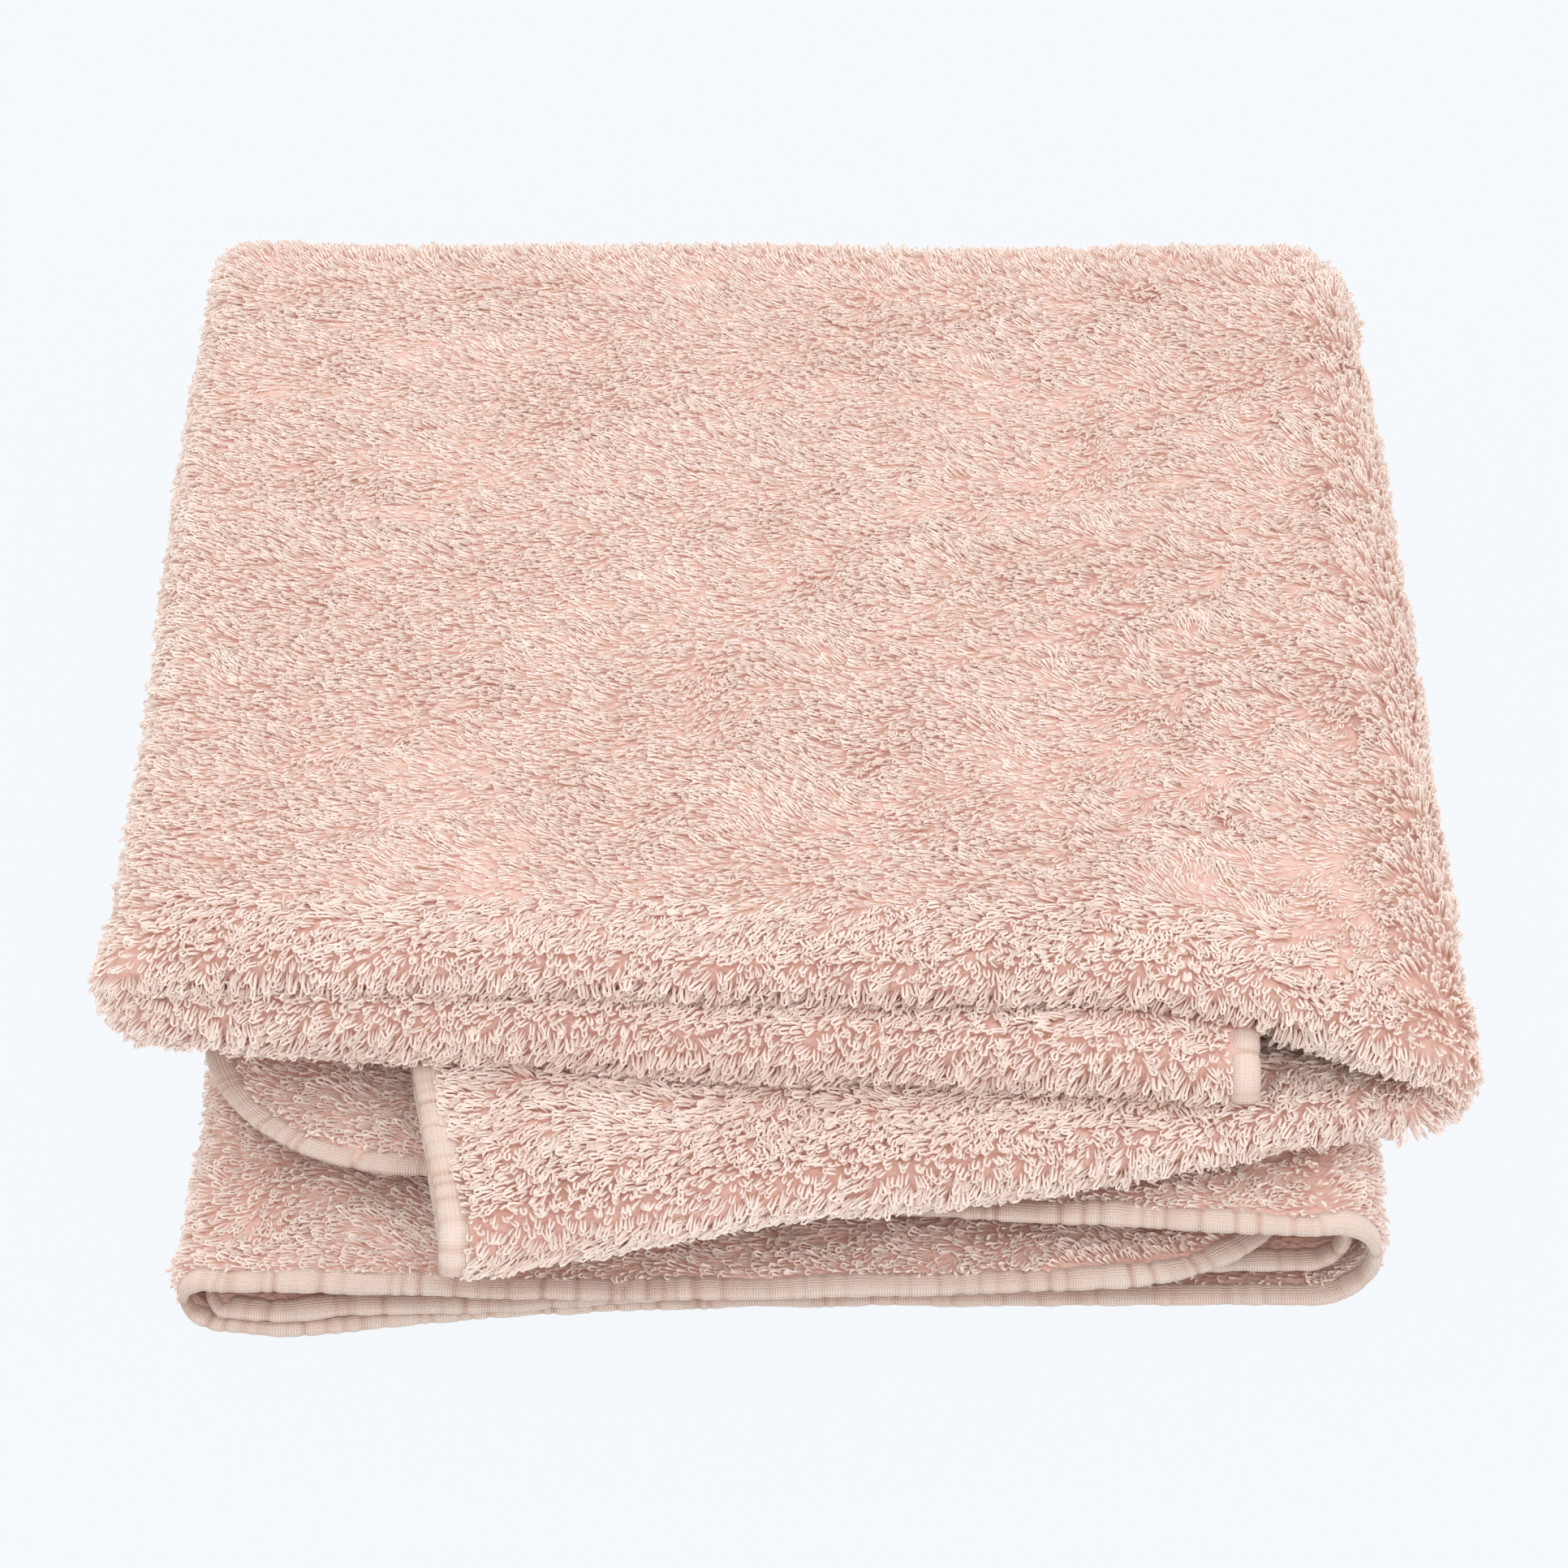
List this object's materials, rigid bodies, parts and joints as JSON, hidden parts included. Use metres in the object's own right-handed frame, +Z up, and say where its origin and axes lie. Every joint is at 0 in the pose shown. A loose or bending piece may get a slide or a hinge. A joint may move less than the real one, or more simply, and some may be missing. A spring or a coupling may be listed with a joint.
{
  "type": "folded bath towel",
  "caption": "Terry bath towel with a taped edge and rounded corners, folded flat and opening at its back fold.",
  "frame": {"origin": "middle of the underside of the folded towel", "axes": "+Z up through the stack, +Y towards the back fold, +X to the right seen from the front"},
  "size_m": [0.286, 0.3834, 0.06],
  "materials": {
    "terry": "soft uncut loop pile",
    "edge_tape": "matte plain weave"
  },
  "bodies": {
    "lower_half": {"back_fold_inner_ply": "terry", "back_fold_outer_ply": "terry", "edge_tape_back_left_flap_inner": "edge_tape", "edge_tape_back_left_flap_outer": "edge_tape", "edge_tape_back_right_flap_inner": "edge_tape", "edge_tape_back_right_flap_outer": "edge_tape", "edge_tape_base_inner": "edge_tape", "edge_tape_base_outer": "edge_tape", "edge_tape_left_fold_inner": "edge_tape", "edge_tape_left_fold_outer": "edge_tape", "edge_tape_lower_left_flap_inner": "edge_tape", "edge_tape_lower_left_flap_outer": "edge_tape", "edge_tape_lower_right_flap_inner": "edge_tape", "edge_tape_lower_right_flap_outer": "edge_tape", "edge_tape_right_fold_inner": "edge_tape", "edge_tape_right_fold_outer": "edge_tape", "lower_base_inner_ply": "terry", "lower_base_outer_ply": "terry", "lower_left_flap_inner_ply": "terry", "lower_left_flap_outer_ply": "terry", "lower_left_fold_inner_ply": "terry", "lower_left_fold_outer_ply": "terry", "lower_right_flap_inner_ply": "terry", "lower_right_flap_outer_ply": "terry", "lower_right_fold_inner_ply": "terry", "lower_right_fold_outer_ply": "terry"},
    "upper_half": {"edge_tape_upper_left_flap_inner": "edge_tape", "edge_tape_upper_left_flap_outer": "edge_tape", "edge_tape_upper_left_flap_turn": "edge_tape", "edge_tape_upper_right_flap_inner": "edge_tape", "edge_tape_upper_right_flap_outer": "edge_tape", "edge_tape_upper_right_flap_turn": "edge_tape", "upper_cover_front_fold": "terry", "upper_cover_inner_ply": "terry", "upper_cover_outer_ply": "terry", "upper_left_flap_front_fold": "terry", "upper_left_flap_inner_ply": "terry", "upper_left_flap_outer_ply": "terry", "upper_left_fold_inner_ply": "terry", "upper_left_fold_outer_ply": "terry", "upper_right_flap_front_fold": "terry", "upper_right_flap_inner_ply": "terry", "upper_right_flap_outer_ply": "terry", "upper_right_fold_inner_ply": "terry", "upper_right_fold_outer_ply": "terry"}
  },
  "joints": [
    {"name": "back_fold", "type": "hinge", "parent": "lower_half", "child": "upper_half", "pos_m": [0, 0.16173, 0.03], "axis": [-1, 0, 0], "range_deg": [0, 180], "deforming": ["back_fold_inner_ply", "back_fold_outer_ply", "edge_tape_back_left_flap_inner", "edge_tape_back_left_flap_outer", "edge_tape_back_right_flap_inner", "edge_tape_back_right_flap_outer"]}
  ]
}
